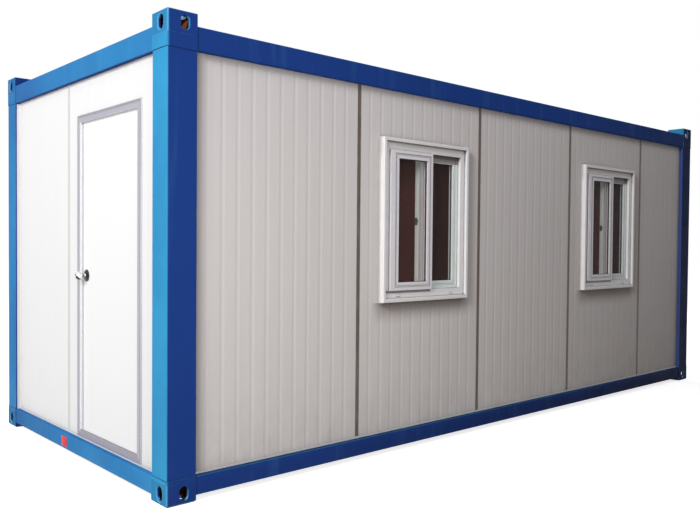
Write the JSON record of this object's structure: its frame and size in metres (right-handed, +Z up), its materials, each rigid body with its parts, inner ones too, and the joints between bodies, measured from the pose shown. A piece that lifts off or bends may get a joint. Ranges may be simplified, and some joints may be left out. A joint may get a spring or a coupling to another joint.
{
  "type": "shipping container cabin",
  "caption": "Flat-pack site cabin in a steel container frame, with sandwich wall panels, sliding windows, a hinged end door and corner blocks for lifting.",
  "frame": {"origin": "on the ground, in the middle of the steel frame's length and width", "axes": "+X along the cabin away from the door end, +Y from the window wall to the back wall, +Z up"},
  "size_m": [6.0804, 2.443, 2.591],
  "materials": {
    "frame_blue": "satin blue paint",
    "galvanised_steel": "galvanised",
    "roof_steel": "satin",
    "panel_white": "satin off-white coil coating",
    "floor_covering": "matt vinyl",
    "joint_aluminium": "mill",
    "door_frame_grey": "satin",
    "door_white": "satin",
    "hardware_steel": "satin stainless",
    "window_pvc": "satin white PVC",
    "window_glass": "clear",
    "latch_green": "satin"
  },
  "bodies": {
    "cabin": {"post_door_front": "frame_blue", "post_door_back": "frame_blue", "post_far_front": "frame_blue", "post_far_back": "frame_blue", "top_corner_blocks": "frame_blue", "bottom_corner_blocks": "frame_blue", "roof_corner_boxes": "frame_blue", "floor_corner_plates": "frame_blue", "roof_side_beams": "frame_blue", "roof_end_beams": "frame_blue", "floor_side_beams": "frame_blue", "floor_end_beams": "frame_blue", "floor_joists": "galvanised_steel", "underfloor_sheet": "galvanised_steel", "roof_purlins": "galvanised_steel", "roof_sheet": "roof_steel", "ceiling_panel": "panel_white", "floor_deck": "floor_covering", "front_wall_panels": "panel_white", "window_wall_panel_1": "panel_white", "window_wall_panel_2": "panel_white", "back_wall_panels": "panel_white", "far_end_wall_panels": "panel_white", "door_end_wall_panel": "panel_white", "door_side_panels": "panel_white", "door_head_panel": "panel_white", "wall_joint_strips": "joint_aluminium", "wall_foot_tracks": "joint_aluminium", "door_frame": "door_frame_grey", "door_hinge_frame_halves": "hardware_steel", "window_latches": "latch_green", "window_1_surround": "window_pvc", "window_1_frame": "window_pvc", "window_1_outer_sash": "window_pvc", "window_1_inner_sash": "window_pvc", "window_1_glass": "window_glass", "window_2_surround": "window_pvc", "window_2_frame": "window_pvc", "window_2_outer_sash": "window_pvc", "window_2_inner_sash": "window_pvc", "window_2_glass": "window_glass"},
    "door": {"door_leaf": "door_white", "door_hinge_leaf_halves": "hardware_steel", "door_roses": "hardware_steel"},
    "knob": {"door_knob": "hardware_steel"}
  },
  "joints": [
    {"name": "door_hinge", "type": "hinge", "parent": "cabin", "child": "door", "pos_m": [-2.93225, -0.844, 1.1], "axis": [0, 0, -1], "range_deg": [0, 100]},
    {"name": "knob_turn", "type": "hinge", "parent": "door", "child": "knob", "pos_m": [-2.9805, -0.1125, 1.173], "axis": [-1, 0, 0], "range_deg": [-45, 45], "stiffness_Nm_per_rad": 0.6}
  ]
}
